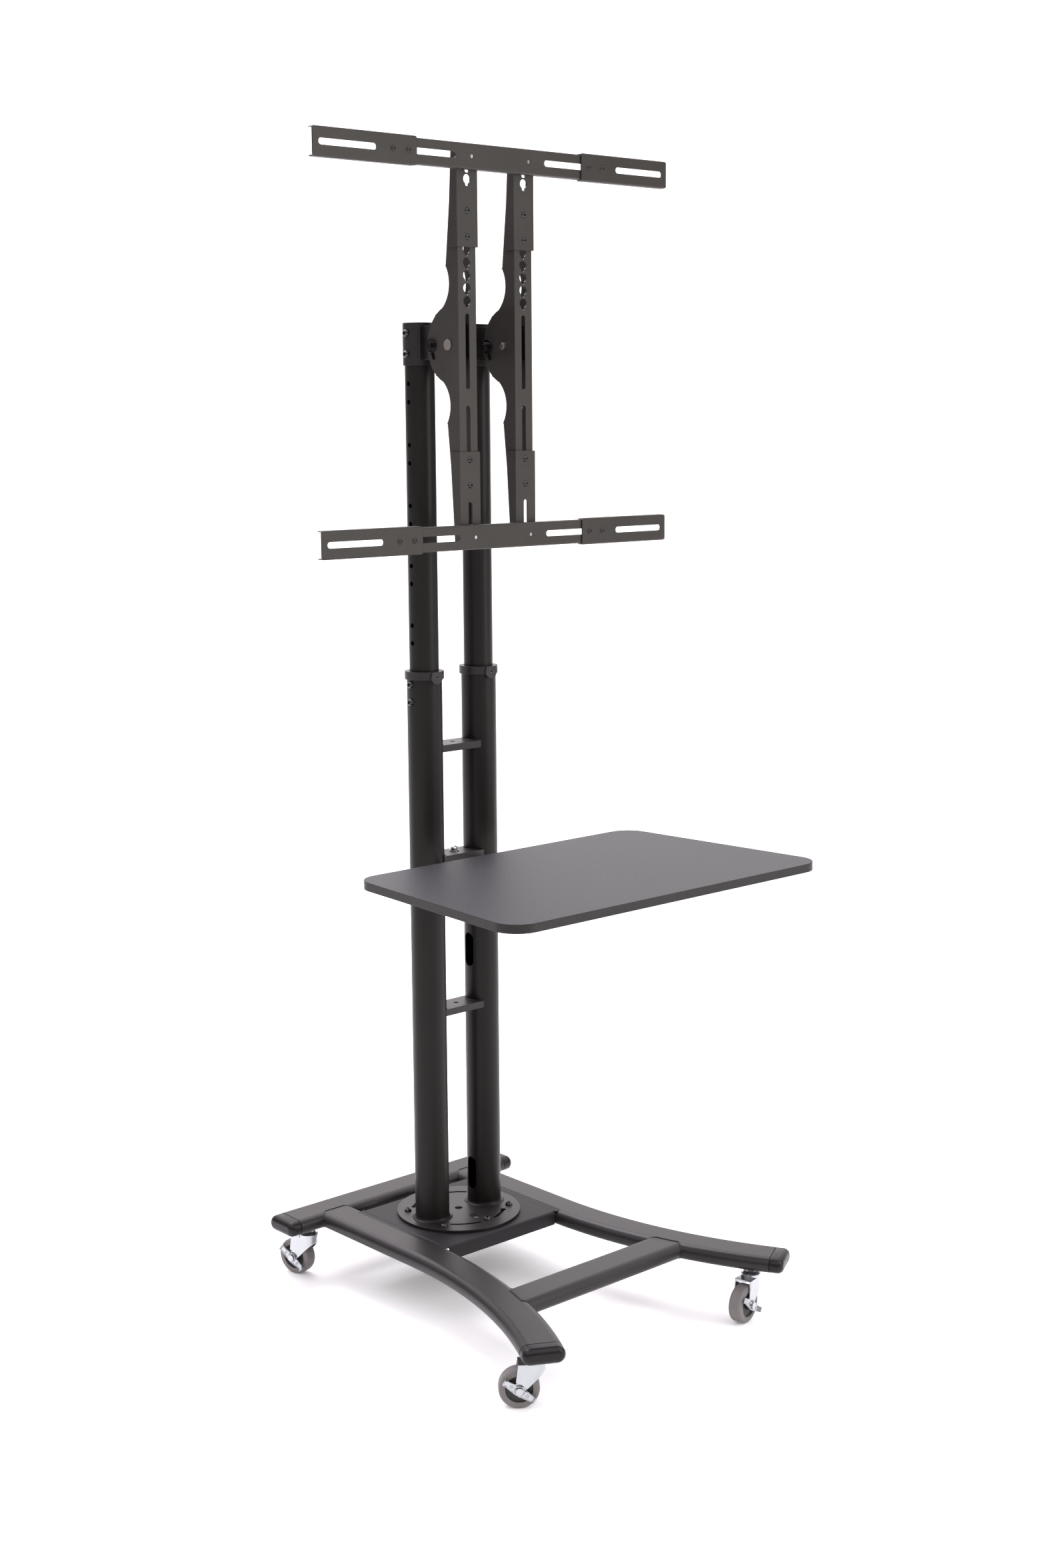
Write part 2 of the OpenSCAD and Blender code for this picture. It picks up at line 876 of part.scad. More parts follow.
// The bolt that holds the bracket on its strut, with a cap nut on top, and the board screws
module shelf_fasteners() {
    color("#b9bcc0")
        placed() {
            translate([0, 0, shelf_z]) {
                cylinder(d = cap_flange_d, h = cap_flange_h);
                hex_prism(bolt_head_af, cap_nut_h);
                translate([0, 0, cap_nut_h])
                    rotate_extrude()
                        intersection() {
                            translate([0, cap_dome_h - dome_r(bolt_head_af, cap_dome_h)])
                                circle(r = dome_r(bolt_head_af, cap_dome_h));
                            square([bolt_head_af / 2, cap_dome_h]);
                        }
                translate([0, 0, -bracket_sheet - strut_t])
                    cylinder(d = shelf_bolt_d, h = bracket_sheet + strut_t);
                translate([0, 0, -bracket_sheet - strut_t - nut_h])
                    hex_prism(bolt_head_af, nut_h);
            }
            shelf_screw_places()
                translate([0, 0, -bracket_sheet])
                    rotate([180, 0, 0])
                        button_screw(small_head_d, small_head_h, small_screw_d - seat_gap, bracket_sheet);
        }
}

// Upper mast

module upper_tube(side) {
    color("#3a3838")
        placed()
            mirrored(side)
                translate([mast_pitch / 2, 0, 0])
                    difference() {
                        translate([0, 0, upper_top - upper_l])
                            cylinder(d = upper_d, h = upper_l);
                        translate([0, 0, upper_top - upper_l - cut])
                            cylinder(d = upper_d - 2 * upper_wall, h = upper_l + 2 * cut);
                        for (k = [0 : hole_pairs - 1], i = [0, 1])
                            translate([0, 0, lock_z + k * hole_pitch - i * hole_pair])
                                rod_x(height_hole_d, 0, upper_d);
                        for (z = head_screw_z)
                            translate([0, 0, z])
                                rod_x(height_hole_d, 0, upper_d);
                    }
}

module tube_glides() {
    color("#202022")
        placed()
            for (side = sides)
                translate([side * mast_pitch / 2, 0, upper_top - upper_l])
                    difference() {
                        cylinder(r = glide_r, h = glide_h);
                        translate([0, 0, -cut])
                            cylinder(d = upper_d, h = glide_h + 2 * cut);
                    }
}

// Both tubes side by side as one stadium
module stadium(r) {
    square([mast_pitch, 2 * r], center = true);
    for (side = sides)
        translate([side * mast_pitch / 2, 0])
            circle(r = r);
}

module head_sleeve() {
    color("#3a3838")
        placed()
            difference() {
                translate([0, 0, head_z])
                    linear_extrude(head_h)
                        stadium(head_r);
                translate([0, 0, head_z - cut])
                    linear_extrude(head_h - head_wall + cut)
                        stadium(head_r - head_wall);
                for (side = sides, z = head_screw_z)
                    mirrored(side)
                        translate([mast_pitch / 2, 0, z])
                            rod_x(bolt_d + seat_gap, 0, upper_d);
            }
}

// A folded box bracket that carries one arm
module head_brackets() {
    deep = pivot_reach + bracket_nose - head_r;
    color("#3a3838")
        placed()
            for (side = sides)
                translate([side * mast_pitch / 2, -head_r, head_top - bracket_inset - bracket_h])
                    difference() {
                        union() {
                            translate([-bracket_w / 2, -deep, 0])
                                cube([bracket_w, deep, bracket_h]);
                            translate([-bracket_w / 2 - bracket_ear, -arm_t, 0])
                                cube([bracket_w + 2 * bracket_ear, arm_t, bracket_h]);
                        }
                        translate([-bracket_w / 2 + arm_t, -deep + arm_t, -cut])
                            cube([bracket_w - 2 * arm_t, deep, bracket_h + 2 * cut]);
                        translate([0, head_r, pivot_z - head_top + bracket_inset + bracket_h])
                            for (reach = [pivot_reach, tilt_bolt_reach])
                                translate([0, -reach, 0])
                                    rod_x(bolt_d + 2 * run_gap, -bracket_w, bracket_w);
                    }
}

module head_screws() {
    color("#19191b")
        placed()
            for (side = sides, z = head_screw_z)
                mirrored(side)
                    translate([mast_pitch / 2 + head_r, 0, z])
                        rotate([0, 90, 0])
                            button_screw(lock_head_d, lock_head_h, bolt_d, 3 * upper_wall + head_wall);
}

module tilt_bolts() {
    color("#2a2a2c")
        placed()
            for (side = sides)
                mirrored(side)
                    translate([mast_pitch / 2, -tilt_bolt_reach, pivot_z])
                        tilt_bolt();
}

// Bolt, two washers and a lock nut: the head is on the outer side of the arm
module tilt_bolt() {
    rod_x(bolt_d, -grip_half - washer_t - bolt_nut_h - thread_out, grip_half + washer_t);
    translate([grip_half + washer_t, 0, 0])
        rotate([0, 90, 0])
            hex_prism(bolt_head_af, bolt_head_h);
    translate([-grip_half - washer_t - bolt_nut_h + nut_collar_h, 0, 0])
        rotate([0, 90, 0])
            hex_prism(bolt_head_af, bolt_nut_h - nut_collar_h);
    rod_x(bolt_head_af, -grip_half - washer_t - bolt_nut_h, -grip_half - washer_t);
    rod_x(washer_d, grip_half, grip_half + washer_t);
    rod_x(washer_d, -grip_half - washer_t, -grip_half);
}

module pivot_bolts() {
    color("#8d9094")
        placed()
            for (side = sides)
                mirrored(side)
                    translate([mast_pitch / 2, -pivot_reach, pivot_z]) {
                        rod_x(bolt_d, -grip_half - pivot_nut_h - thread_out / 2, grip_half);
                        rod_x(pivot_head_d, grip_half, grip_half + pivot_head_h);
                        translate([-grip_half - pivot_nut_h, 0, 0])
                            rotate([0, 90, 0])
                                hex_prism(pivot_nut_af, pivot_nut_h);
                    }
}

// Arms

// The cheek of an arm: u is the depth behind the face, v the height over the pivot
module cheek_outline() {
    intersection() {
        translate([bulge_depth, 0])
            circle(r = bulge_r);
        translate([0, -bulge_r])
            square(2 * bulge_r);
    }
    difference() {
        translate([0, -bump_z])
            square([waist_depth - bump_tip, 2 * bump_z]);
        for (side = sides)
            translate([waist_depth, side * waist_z])
                circle(r = waist_r);
    }
    for (side = sides)
        polygon([
            [0, 0],
            [arm_end_depth, 0],
            [arm_end_depth, side * (bump_z - arm_end_depth)],
            [bump_depth, side * bump_z],
            [arm_end_depth, side * arm_half],
            [0, side * arm_half]
        ]);
}

// A keyhole in a face, with its narrow end down
module keyhole(z) {
    translate([0, 0, z])
        rod_y(key_d, -arm_t - cut, cut);
    translate([0, 0, z - key_tail_z])
        rod_y(key_tail_d, -arm_t - cut, cut);
    translate([-key_tail_d / 2, -arm_t - cut, z - key_tail_z])
        cube([key_tail_d, arm_t + 2 * cut, key_tail_z]);
}

module arm(side) {
    color("#4a4742")
        placed()
            translate([side * mast_pitch / 2, face_y, pivot_z])
                difference() {
                    union() {
                        for (cheek = sides)
                            translate([cheek * (arm_w - arm_t) / 2, 0, 0])
                                along_x(arm_t)
                                    cheek_outline();
                        translate([-arm_w / 2, 0, -arm_half])
                            cube([arm_w, arm_t, 2 * arm_half]);
                    }
                    translate([0, arm_t, 0])
                        arm_face_cuts();
                    arm_tilt_cuts();
                }
}

module arm_face_cuts() {
    for (i = [0 : keyholes - 1])
        keyhole(first_keyhole_z + i * keyhole_pitch);
    slot_z(middle_slot[0], middle_slot[1], arm_slot_w, -arm_t - cut, cut);
    slot_z(lower_slot[0], lower_slot[1], arm_slot_w, -arm_t - cut, cut);
    for (z = upper_screw_z)
        translate([0, 0, z])
            rod_y(small_screw_d + seat_gap, -arm_t - cut, cut);
}

module arm_tilt_cuts() {
    bolt_r = pivot_reach - tilt_bolt_reach;
    translate([0, arm_face, 0]) {
        rod_x(bolt_d + 2 * run_gap, -arm_w, arm_w);
        for (a = [0, -tilt_slot_a])
            translate([0, bolt_r * cos(a), bolt_r * sin(a)])
                rod_x(tilt_slot_w - slot_ease, -arm_w, arm_w);
        translate([-arm_w, 0, 0])
            rotate([90, 0, 90])
                rotate([0, 0, -tilt_slot_a])
                    rotate_extrude(angle = tilt_slot_a)
                        translate([bolt_r - tilt_slot_w / 2, 0])
                            square([tilt_slot_w, 2 * arm_w]);
    }
}

// The cheek of an arm extension between two heights
module extension_outline(low, high, low_depth, high_depth) {
    polygon([[0, low], [low_depth, low], [high_depth, high], [0, high]]);
}

// A channel that slips over the end of an arm
module arm_extension(side, low, high, low_depth, high_depth) {
    placed()
        translate([side * mast_pitch / 2, extension_face_y, pivot_z])
            difference() {
                along_x(extension_w)
                    extension_outline(low, high, low_depth, high_depth);
                translate([-extension_w / 2 + arm_t, arm_t, low - cut])
                    cube([extension_w - 2 * arm_t, bulge_r, high - low + 2 * cut]);
                translate([0, arm_t, 0])
                    children();
            }
}

module upper_arm_extension(side) {
    color("#474540")
        arm_extension(side, upper_extension_low, extension_end, extension_depth + seat_gap + arm_t,
                extension_end_depth) {
            union() {
                keyhole(extension_key_z);
                translate([0, 0, extension_hole_z])
                    rod_y(extension_hole_d, -arm_t - cut, cut);
                for (z = upper_screw_z)
                    translate([0, 0, z])
                        rod_y(small_screw_d, -arm_t - cut, cut);
                translate([0, 0, rail_z[1] - pivot_z])
                    rod_y(small_screw_d, -arm_t - cut, cut);
            }
        }
}

module lower_arm_extension(side) {
    color("#474540")
        arm_extension(side, lower_extension_low, lower_extension_high, extension_end_depth,
                extension_depth + seat_gap + arm_t) {
            union() {
                slot_z(extension_slot[0], extension_slot[1], arm_slot_w, -arm_t - cut, cut);
                for (z = lower_screw_z)
                    translate([0, 0, z])
                        rod_y(small_screw_d, -arm_t - cut, cut);
            }
        }
}

// A screw through the face of an extension, with its nut behind the arm
module face_screw(grip) {
    rotate([90, 0, 0])
        button_screw(small_head_d, small_head_h, small_screw_d, grip + nut_h);
    difference() {
        translate([0, grip, 0])
            rotate([-90, 0, 0])
                hex_prism(nut_af, nut_h);
        rod_y(small_screw_d + seat_gap, 0, grip + 2 * nut_h);
    }
}

module extension_screws(heights) {
    color("#19191b")
        placed()
            for (side = sides, z = heights)
                translate([side * mast_pitch / 2, extension_face_y, pivot_z + z])
                    face_screw(2 * arm_t + 2 * seat_gap);
}

// Rails

// A channel section seen from its end: u is the depth behind the face, v the height
module channel_section(h, d, t, bend) {
    difference() {
        union() {
            translate([bend, -h / 2])
                square([d - bend, h]);
            translate([0, -h / 2 + bend])
                square([d, h - 2 * bend]);
            for (side = sides)
                translate([bend, side * (h / 2 - bend)])
                    circle(r = bend);
        }
        translate([t, -h / 2 + t])
            square([d, h - 2 * t]);
    }
}

module centre_rail(z) {
    color("#45433f")
        placed()
            translate([0, rail_front, z])
                difference() {
                    along_x(2 * rail_half)
                        channel_section(rail_h, rail_d, rail_t, rail_bend_r);
                    for (side = sides) {
                        translate([side * (rail_slot_in + rail_slot_out) / 2, 0, 0])
                            slot_x(rail_slot_out - rail_slot_in, rail_slot_w, -cut, rail_t + cut);
                        translate([side * mast_pitch / 2, 0, 0])
                            rod_y(rail_hole_d, -cut, rail_t + cut);
                    }
                }
}

// Screws from behind that hold a centre rail on the arm extensions, ending in the rail's holes
module rail_screws(z) {
    color("#b9bcc0")
        placed()
            for (side = sides)
                translate([side * mast_pitch / 2, extension_face_y + arm_t, z])
                    rotate([-90, 0, 0]) {
                        button_screw(small_head_d, small_head_h, small_screw_d, rail_d + arm_t - rail_t / 2);
                        translate([0, 0, -arm_t - nut_h])
                            difference() {
                                hex_prism(nut_af, nut_h);
                                translate([0, 0, -cut])
                                    cylinder(d = small_screw_d + seat_gap, h = nut_h + 2 * cut);
                            }
                    }
}

// A channel that slips over the end of a centre rail, with its two clamp screws
module rail_extension(side, z) {
    mid = ext_reach - ext_l / 2;
    color("#45433f")
        placed()
            mirrored(side)
                translate([0, ext_front, z]) {
                    difference() {
                        intersection() {
                            translate([mid, 0, 0])
                                along_x(ext_l)
                                    channel_section(ext_h, ext_d, ext_t, rail_bend_r);
                            translate([mid, 0, 0])
                                extension_corners();
                        }
                        translate([ext_reach - ext_slot_edge - ext_slot_l / 2, 0, 0])
                            slot_x(ext_slot_l, rail_slot_w, -cut, ext_t + cut);
                        for (x = ext_screw_x)
                            translate([ext_reach - ext_l + x, 0, 0])
                                rod_y(small_screw_d, -cut, ext_t + cut);
                    }
                    for (x = ext_screw_x)
                        translate([ext_reach - ext_l + x, 0, 0])
                            face_screw(ext_t + rail_t + 2 * seat_gap);
                }
}

// The outline of a rail extension seen from in front, with rounded corners
module extension_corners() {
    rotate([90, 0, 0])
        linear_extrude(4 * ext_d, center = true) {
            square([ext_l - 2 * ext_corner_r, ext_h], center = true);
            square([ext_l, ext_h - 2 * ext_corner_r], center = true);
            for (x = sides, z = sides)
                translate([x * (ext_l / 2 - ext_corner_r), z * (ext_h / 2 - ext_corner_r)])
                    circle(r = ext_corner_r);
        }
}

// Casters

module caster_stems() {
    color("#c4c7ca")
        placed()
            for (place = caster_places)
                translate([place[0], place[1], 0]) {
                    translate([0, 0, fork_top - fork_t - king_head_h])
                        cylinder(d = stem_d, h = base_z + stem_in - fork_top + fork_t + king_head_h);
                    translate([0, 0, fork_top - fork_t - king_head_h - run_gap])
                        cylinder(d = king_head_d, h = king_head_h);
                    translate([0, 0, fork_top + race_h + seat_gap])
                        cylinder(d1 = upper_race_d, d2 = upper_race_d * race_flare_share, h = upper_race_h);
                    translate([0, 0, base_z - stem_nut_h])
                        hex_prism(stem_nut_af, stem_nut_h);
                }
}

// Moves from a caster's own frame, with the wheel behind along +X, to its place
module at_caster(i) {
    placed()
        translate([caster_places[i][0], caster_places[i][1], 0])
            rotate([0, 0, headings[i]])
                children();
}

// The fork seen from its side
module fork_side() {
    axle_z = wheel_d / 2;
    polygon([
        [-fork_outer, fork_top],
        [-fork_outer, fork_top - nose_drop],
        [trail - cheek_r, axle_z - cheek_r / 2],
        [trail + cheek_r, axle_z],
        [fork_front, fork_top - fork_t],
        [fork_front, fork_top]
    ]);
    translate([trail, axle_z])
        circle(r = cheek_r);
}

// The fork seen from above: straight cheeks and a round nose about the stem
module fork_plan(half, long) {
    circle(r = half);
    translate([0, -half])
        square([long, 2 * half]);
}

// The pressed fork with its race, and the axle riveted across it
module caster_fork(i) {
    axle_z = wheel_d / 2;
    color("#c9ccd0")
        at_caster(i) {
            difference() {
                union() {
                    intersection() {
                        linear_extrude(fork_top)
                            fork_plan(fork_outer, 2 * fork_front);
                        rotate([90, 0, 0])
                            linear_extrude(3 * fork_outer, center = true)
                                fork_side();
                    }
                    translate([0, 0, fork_top])
                        cylinder(d = race_d, h = race_h);
                }
                translate([0, 0, -cut])
                    linear_extrude(fork_top - fork_t + cut)
                        fork_plan(fork_inner, 3 * fork_front);
                translate([0, 0, fork_top - 2 * fork_t])
                    cylinder(d = stem_d + 2 * run_gap, h = race_h + 3 * fork_t);
                translate([trail, 0, axle_z])
                    rod_y(axle_d, -2 * fork_outer, 2 * fork_outer);
            }
            translate([trail, 0, axle_z]) {
                rod_y(axle_d, -fork_outer, brake_side);
                rod_y(axle_head_d, -fork_outer - axle_head_h, -fork_outer);
                rod_y(axle_head_d, brake_side, brake_side + axle_head_h);
            }
        }
}

module caster_tyre(i) {
    color("#6f6b69")
        at_caster(i)
            translate([trail, 0, wheel_d / 2])
                rotate([90, 0, 0])
                    rotate_extrude()
                        translate([hub_d / 2, 0])
                            tyre_section();
}

// Half section of the tyre, outward from the hub
module tyre_section() {
    deep = (wheel_d - hub_d) / 2;
    translate([0, -wheel_w / 2])
        square([deep - tyre_round, wheel_w]);
    translate([0, -wheel_w / 2 + tyre_round])
        square([deep, wheel_w - 2 * tyre_round]);
    for (side = sides)
        translate([deep - tyre_round, side * (wheel_w / 2 - tyre_round)])
            circle(r = tyre_round);
}

module caster_hub(i) {
    color("#232220")
        at_caster(i)
            translate([trail, 0, wheel_d / 2])
                rotate([90, 0, 0])
                    difference() {
                        union() {
                            cylinder(d = hub_d, h = wheel_w - 2 * hub_dish, center = true);
                            cylinder(d = hub_d * hub_core_share, h = hub_bore_w, center = true);
                        }
                        cylinder(d = axle_d + 2 * run_gap, h = 2 * wheel_w, center = true);
                    }
}

// The toe lever on the outer cheek: two wings, a boss and two bent toe pads
module caster_brake(i) {
    color("#c9ccd0")
        at_caster(i)
            translate([trail, fork_outer + brake_gap, wheel_d / 2])
                rotate([0, brake_rest_a, 0])
                    difference() {
                        union() {
                            rod_y(2 * brake_boss_r, 0, brake_t);
                            translate([0, brake_t, 0])
                                rotate([90, 0, 0])
                                    linear_extrude(brake_t)
                                        brake_outline();
                            for (side = sides)
                                translate([side * (brake_half - brake_t / 2) - brake_t / 2, 0, -brake_tip_w / 2])
                                    cube([brake_t, brake_toe, brake_tip_w]);
                        }
                        rod_y(axle_d + 2 * run_gap, -brake_toe, 2 * brake_toe);
                    }
}

module brake_outline() {
    polygon([
        [-brake_half, brake_tip_w / 2],
        [-brake_half, -brake_tip_w / 2],
        [-brake_boss_r / 2, -brake_boss_r],
        [brake_boss_r / 2, -brake_boss_r],
        [brake_half, -brake_tip_w / 2],
        [brake_half, brake_tip_w / 2]
    ]);
}

rear_crossbar();
leg(-1);  // left_leg
leg(1);  // right_leg
front_cross_tube();
centre_plate();
end_caps();
mast_disc();
disc_screws();
lower_tube(-1);  // left_lower_tube
lower_tube(1);  // right_lower_tube
strut(strut_tops[0]);  // lower_strut
strut(strut_tops[1]);  // middle_strut
strut(strut_tops[2]);  // upper_strut
mast_collars();
mast_screws();
guide_bushes();
shelf_bracket();
shelf_board();
shelf_fasteners();
caster_stems();
upper_tube(-1);  // left_upper_tube
upper_tube(1);  // right_upper_tube
tube_glides();
head_sleeve();
head_brackets();
head_screws();
tilt_bolts();
pivot_bolts();
arm(-1);  // left_arm
arm(1);  // right_arm
upper_arm_extension(-1);  // upper_left_arm_extension
upper_arm_extension(1);  // upper_right_arm_extension
extension_screws(upper_screw_z);  // upper_extension_screws
centre_rail(rail_z[1]);  // upper_rail
rail_screws(rail_z[1]);  // upper_rail_screws
lower_arm_extension(-1);  // lower_left_arm_extension
lower_arm_extension(1);  // lower_right_arm_extension
extension_screws(lower_screw_z);  // lower_extension_screws
centre_rail(rail_z[0]);  // lower_rail
rail_screws(rail_z[0]);  // lower_rail_screws
rail_extension(-1, rail_z[1]);  // upper_left_rail_extension
rail_extension(1, rail_z[1]);  // upper_right_rail_extension
rail_extension(-1, rail_z[0]);  // lower_left_rail_extension
rail_extension(1, rail_z[0]);  // lower_right_rail_extension
caster_fork(0);  // rear_left_fork
caster_tyre(0);  // rear_left_tyre
caster_hub(0);  // rear_left_hub
caster_brake(0);  // rear_left_brake
caster_fork(1);  // rear_right_fork
caster_tyre(1);  // rear_right_tyre
caster_hub(1);  // rear_right_hub
caster_brake(1);  // rear_right_brake
caster_fork(2);  // front_left_fork
caster_tyre(2);  // front_left_tyre
caster_hub(2);  // front_left_hub
caster_brake(2);  // front_left_brake
caster_fork(3);  // front_right_fork
caster_tyre(3);  // front_right_tyre
caster_hub(3);  // front_right_hub
caster_brake(3);  // front_right_brake
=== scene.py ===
"""The looks of the TV floor stand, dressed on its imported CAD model. All lengths are in metres."""
import json
import math

import bmesh
import bpy
from mathutils import Matrix, Vector


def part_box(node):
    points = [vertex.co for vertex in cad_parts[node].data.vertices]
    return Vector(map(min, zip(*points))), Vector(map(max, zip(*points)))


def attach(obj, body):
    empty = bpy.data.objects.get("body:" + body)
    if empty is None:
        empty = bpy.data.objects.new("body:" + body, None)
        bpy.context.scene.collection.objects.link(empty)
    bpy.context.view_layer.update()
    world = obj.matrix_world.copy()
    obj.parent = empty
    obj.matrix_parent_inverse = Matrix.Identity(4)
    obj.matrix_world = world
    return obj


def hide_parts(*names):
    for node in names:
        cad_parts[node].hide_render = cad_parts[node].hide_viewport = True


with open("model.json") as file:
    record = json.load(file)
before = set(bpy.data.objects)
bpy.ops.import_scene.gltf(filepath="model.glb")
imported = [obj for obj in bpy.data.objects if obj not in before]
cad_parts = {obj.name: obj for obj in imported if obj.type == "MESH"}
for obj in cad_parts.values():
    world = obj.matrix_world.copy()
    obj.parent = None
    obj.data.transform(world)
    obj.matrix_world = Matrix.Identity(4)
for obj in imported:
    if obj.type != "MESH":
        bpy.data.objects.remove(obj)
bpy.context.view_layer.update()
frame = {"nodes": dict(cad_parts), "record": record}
NODES = frame["nodes"]

# The middle of the mast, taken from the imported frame
tube_low, tube_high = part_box("left_lower_tube")
MAST_Y = (tube_low[1] + tube_high[1]) / 2
# Places and sizes of part.scad, measured from the floor below the middle of the mast
MAST_X, MAST_TUBE_R = 0.0605, 0.030
LEG_X, BEND_Y, BEND_R, BEND_A = 0.157, -0.090, 0.870, 29
BAR_Y, BAR_END_X, CROSS_Y, TUBE_Z = 0.182, 0.238, -0.351, 0.106
# Half the width and height of the flat oval base tubes
HALF_W, HALF_H = 0.035, 0.014
FLAT = HALF_W - HALF_H
SIDES = ((-1, "left"), (1, "right"))


# Camera: its angles in degrees and its focal length in pixels, solved from the photo's edges

YAW, PITCH, ROLL = 41.8, 9.70, -0.43
CAMERA_AT = (-2.3335, -2.7901 + MAST_Y, 1.5158)
FOCAL_PX, PHOTO_W = 3195.4, 1568
SENSOR_MM = 36
CLIP_END = 60


def set_camera():
    yaw, pitch, roll = math.radians(YAW), math.radians(PITCH), math.radians(ROLL)
    level = math.cos(pitch)
    forward = Vector((math.sin(yaw) * level, math.cos(yaw) * level, -math.sin(pitch)))
    right = Vector((math.cos(yaw), -math.sin(yaw), 0))
    up = right.cross(forward)
    rolled_right = right * math.cos(roll) + up * math.sin(roll)
    rolled_up = -right * math.sin(roll) + up * math.cos(roll)
    m = Matrix((rolled_right, rolled_up, -forward)).transposed().to_4x4()
    m.translation = Vector(CAMERA_AT)
    data = bpy.data.cameras.new("camera")
    data.sensor_fit = "HORIZONTAL"
    data.sensor_width = SENSOR_MM
    data.lens = SENSOR_MM * FOCAL_PX / PHOTO_W
    data.clip_end = CLIP_END
    cam = bpy.data.objects.new("camera", data)
    cam.matrix_world = m
    bpy.context.scene.collection.objects.link(cam)
    bpy.context.scene.camera = cam


# Materials

# Dot product of the true and the softened normal where an edge's mask is 0, and where it is 1
EDGE_FROM, EDGE_TO = 0.985, 0.86
COAT_EDGE, COAT_GRAIN = 0.0008, 900


class Graph:
    """Writes a node material in few lines."""

    def __init__(self, name):
        self.mat = bpy.data.materials.new(name)
        self.mat.use_nodes = True
        self.tree = self.mat.node_tree
        self.bsdf = self.tree.nodes["Principled BSDF"]

    def node(self, kind, **values):
        n = self.tree.nodes.new(kind)
        for key, value in values.items():
            if key in n.inputs:
                n.inputs[key].default_value = value
            else:
                setattr(n, key, value)
        return n

    def link(self, a, b):
        self.tree.links.new(a, b)

    def set(self, **values):
        """Sets the shader's own sockets, with _ for each space of their names."""
        for key, value in values.items():
            self.bsdf.inputs[key.replace("_", " ")].default_value = value

    def noise(self, scale, detail=4.0, rough=0.5):
        coord = self.node("ShaderNodeTexCoord")
        n = self.node("ShaderNodeTexNoise", Scale=scale, Detail=detail, Roughness=rough)
        self.link(coord.outputs["Object"], n.inputs["Vector"])
        return n.outputs["Fac"]

    def ramp(self, fac, low, high, a, b):
        r = self.node("ShaderNodeMapRange")
        r.inputs["From Min"].default_value = low
        r.inputs["From Max"].default_value = high
        r.inputs["To Min"].default_value = a
        r.inputs["To Max"].default_value = b
        self.link(fac, r.inputs["Value"])
        return r.outputs["Result"]

    def mix(self, fac, one, two):
        """Mixes two colours, each a plain colour or another node's output."""
        m = self.node("ShaderNodeMix", data_type="RGBA")
        for key, color in (("A", one), ("B", two)):
            if isinstance(color, tuple):
                m.inputs[key].default_value = (*color, 1)
            else:
                self.link(color, m.inputs[key])
        self.link(fac, m.inputs["Factor"])
        return m.outputs["Result"]

    def color(self, output):
        self.link(output, self.bsdf.inputs["Base Color"])

    def roughness(self, noise, smooth, dull, low=0.3, high=0.7):
        self.link(self.ramp(noise, low, high, smooth, dull), self.bsdf.inputs["Roughness"])

    def soften(self, radius):
        """Rounds the look of sharp edges, and gives a mask that is 1 along them."""
        soft = self.node("ShaderNodeBevel", samples=6)
        soft.inputs["Radius"].default_value = radius
        self.link(soft.outputs["Normal"], self.bsdf.inputs["Normal"])
        geo = self.node("ShaderNodeNewGeometry")
        dot = self.node("ShaderNodeVectorMath", operation="DOT_PRODUCT")
        self.link(soft.outputs["Normal"], dot.inputs[0])
        self.link(geo.outputs["Normal"], dot.inputs[1])
        return self.ramp(dot.outputs["Value"], EDGE_FROM, EDGE_TO, 0, 1)

    def bump(self, height, distance, strength):
        """Adds a bump on top of the normal that the shader has so far."""
        b = self.node("ShaderNodeBump")
        b.inputs["Distance"].default_value = distance
        b.inputs["Strength"].default_value = strength
        self.link(height, b.inputs["Height"])
        if self.bsdf.inputs["Normal"].links:
            self.link(self.bsdf.inputs["Normal"].links[0].from_socket, b.inputs["Normal"])
        self.link(b.outputs["Normal"], self.bsdf.inputs["Normal"])


def shade(color, share):
    return tuple(c * share for c in color)


def powder_coat(name, color, rough, tint, spec=0.36):
    """Baked powder paint: a fine pebbled skin, slow shade changes, and thin rubbed edges."""
    g = Graph(name)
    worn = g.soften(COAT_EDGE)
    rubbed = tuple(c * 1.35 + 0.001 for c in color)
    coat = g.mix(g.ramp(g.noise(9, 4), 0.3, 0.7, 0, 1), shade(color, 0.84), shade(color, 1.16))
    patchy = g.node("ShaderNodeMath", operation="MULTIPLY")
    g.link(worn, patchy.inputs[0])
    g.link(g.ramp(g.noise(55, 5, 0.7), 0.42, 0.72, 0, 0.75), patchy.inputs[1])
    g.color(g.mix(patchy.outputs["Value"], coat, rubbed))
    g.roughness(g.noise(COAT_GRAIN, 2), rough - 0.06, rough + 0.08)
    g.set(Specular_IOR_Level=spec, Specular_Tint=(*tint, 1))
    g.bump(g.noise(COAT_GRAIN, 2), 0.00012, 0.42)
    g.bump(g.noise(90, 3), 0.0003, 0.1)
    return g.mat


def shaded_coat(name, color):
    """Powder paint in a seam or on the plate: the same skin, duller, with no rubbed edge. In the
    seam its darker colour is painted shade of the groove.
    """
    g = Graph(name)
    g.color(g.mix(g.noise(9, 4), shade(color, 0.8), shade(color, 1.1)))
    g.roughness(g.noise(COAT_GRAIN, 2), 0.5, 0.62)
    g.set(Specular_IOR_Level=0.25)
    g.bump(g.noise(COAT_GRAIN, 2), 0.00012, 0.4)
    return g.mat


def black_plastic(name, color, rough, spec=0.5):
    g = Graph(name)
    g.color(g.mix(g.noise(30, 3), shade(color, 0.8), shade(color, 1.25)))
    g.roughness(g.noise(160, 4), rough - 0.05, rough + 0.09)
    g.set(Specular_IOR_Level=spec)
    g.bump(g.noise(420, 2), 0.00005, 0.15)
    return g.mat


